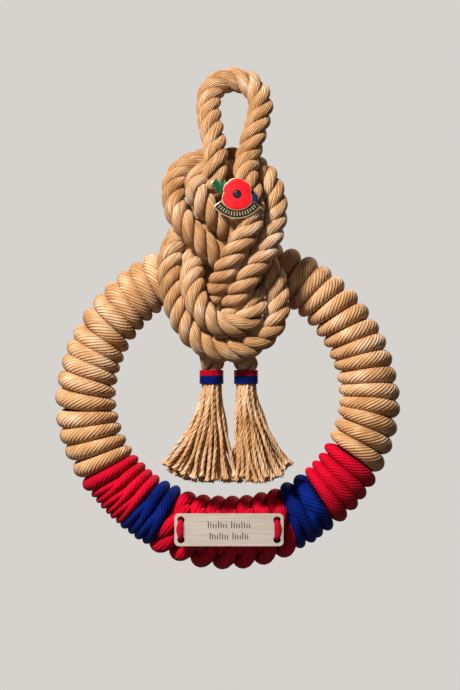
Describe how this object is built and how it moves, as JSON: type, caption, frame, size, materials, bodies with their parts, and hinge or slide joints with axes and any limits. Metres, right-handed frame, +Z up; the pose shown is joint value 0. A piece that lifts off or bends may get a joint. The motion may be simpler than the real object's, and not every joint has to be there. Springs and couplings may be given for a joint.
{
  "type": "commemorative rope wreath",
  "caption": "Ring bound with natural, red and blue rope, topped by a knotted rope with a hanging loop and two tassels, with a poppy badge and an engraved plate.",
  "frame": {"origin": "inside of the top of the hanging loop, where it bears on what it hangs from", "axes": "+Z up as it hangs, +X to the right as seen from the front, -Y towards the viewer"},
  "size_m": [0.1918, 0.0699, 0.2783],
  "materials": {
    "natural_rope": "laid fibre, light tan",
    "red_cord": "braided cord, crimson",
    "blue_cord": "braided cord, royal blue",
    "red_enamel": "hard enamel, gloss",
    "plate_metal": "brushed, warm nickel"
  },
  "bodies": {
    "root": {"ring_winding_natural": "natural_rope", "ring_winding_red_left": "red_cord", "ring_winding_blue_left": "blue_cord", "ring_winding_red_centre": "red_cord", "ring_winding_blue_right": "blue_cord", "ring_winding_red_right": "red_cord", "knotted_rope": "natural_rope", "whipping_red_left": "red_cord", "whipping_blue_left": "blue_cord", "whipping_red_right": "red_cord", "whipping_blue_right": "blue_cord", "enamel_badge": "red_enamel", "nameplate": "plate_metal", "nameplate_tie_left": "red_cord", "nameplate_tie_right": "red_cord"}
  },
  "joints": []
}
